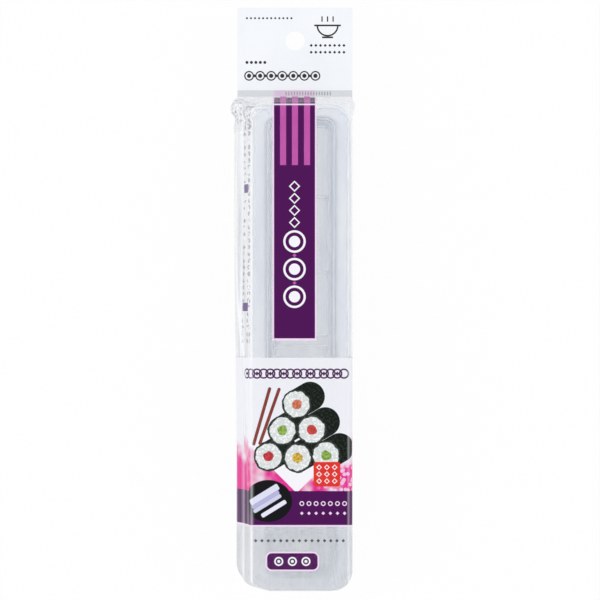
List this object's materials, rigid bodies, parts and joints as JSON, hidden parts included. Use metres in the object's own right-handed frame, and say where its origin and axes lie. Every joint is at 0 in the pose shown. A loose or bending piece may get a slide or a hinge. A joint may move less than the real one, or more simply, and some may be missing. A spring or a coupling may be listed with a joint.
{
  "type": "sushi rice mold press",
  "caption": "Nesting plastic press that moulds rice into one slim roll: trough base, open frame and grooved presser, sealed in a clear hanging pouch with a plain header.",
  "frame": {"origin": "on the flat back of the pouch, under the middle of the mould", "axes": "+Y along the mould towards the header, +Z from the back of the pouch up through the open mouth, +X across"},
  "size_m": [0.0553, 0.2726, 0.0446],
  "materials": {
    "base_plastic": "translucent natural polypropylene, satin",
    "frame_plastic": "translucent natural polypropylene, satin",
    "presser_plastic": "translucent natural polypropylene, satin",
    "clear_film": "clear polypropylene film with a printed band and panel",
    "header_board": "white coated board"
  },
  "bodies": {
    "base": {"base_mould": "base_plastic"},
    "frame": {"upper_frame": "frame_plastic"},
    "presser": {"presser": "presser_plastic"},
    "package": {"bag_film": "clear_film", "header_panel": "header_board"}
  },
  "joints": [
    {"name": "frame_lift", "type": "slide", "parent": "base", "child": "frame", "axis": [0, 0, 1], "range_m": [0, 0.045]},
    {"name": "presser_lift", "type": "slide", "parent": "frame", "child": "presser", "axis": [0, 0, 1], "range_m": [0, 0.05]},
    {"name": "bag_slide", "type": "slide", "parent": "frame", "child": "package", "axis": [0, 1, 0], "range_m": [0, 0.25], "deforming": ["bag_film"]}
  ]
}
